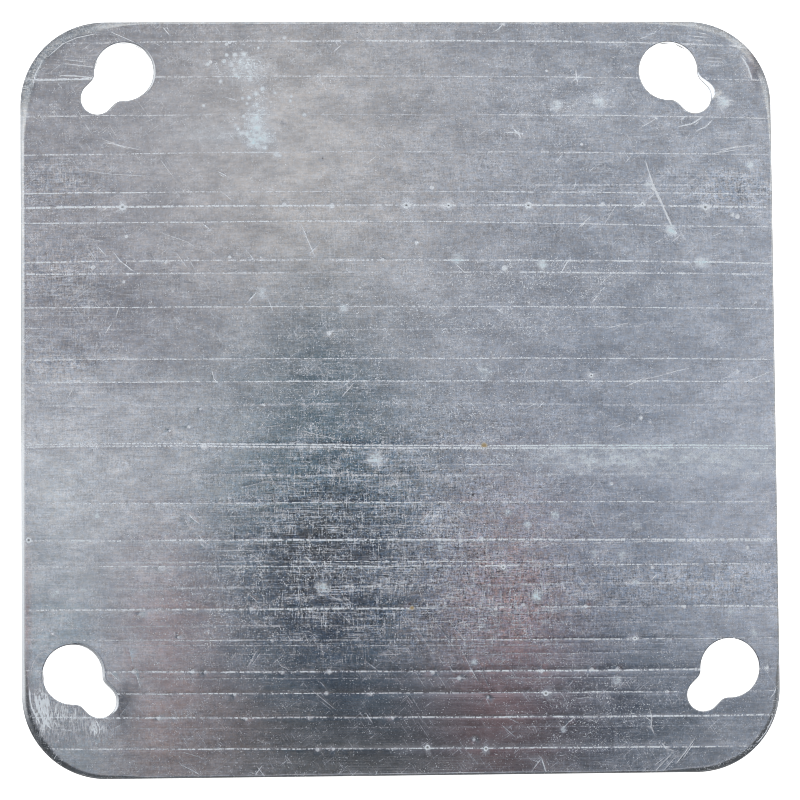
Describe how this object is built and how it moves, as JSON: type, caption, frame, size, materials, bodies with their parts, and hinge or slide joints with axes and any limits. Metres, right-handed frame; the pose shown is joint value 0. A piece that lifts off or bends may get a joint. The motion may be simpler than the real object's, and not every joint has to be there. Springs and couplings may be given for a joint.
{
  "type": "rectangular cover plate",
  "caption": "Flat square sheet-steel cover plate with rounded corners and a keyhole slot at each corner, used to close a square electrical box.",
  "frame": {"origin": "centre of the back face, which rests on the surface", "axes": "+Z out of the front face, +Y towards the side where all the keyholes' wide ends lie, +X to the right seen from the front"},
  "size_m": [0.1016, 0.1016, 0.0016],
  "materials": {
    "galvanised_steel": "bare galvanised mill finish, satin, with long rolling lines, a fine crosshatch and light handling scratches"
  },
  "bodies": {
    "root": {"cover_plate": "galvanised_steel"}
  },
  "joints": []
}
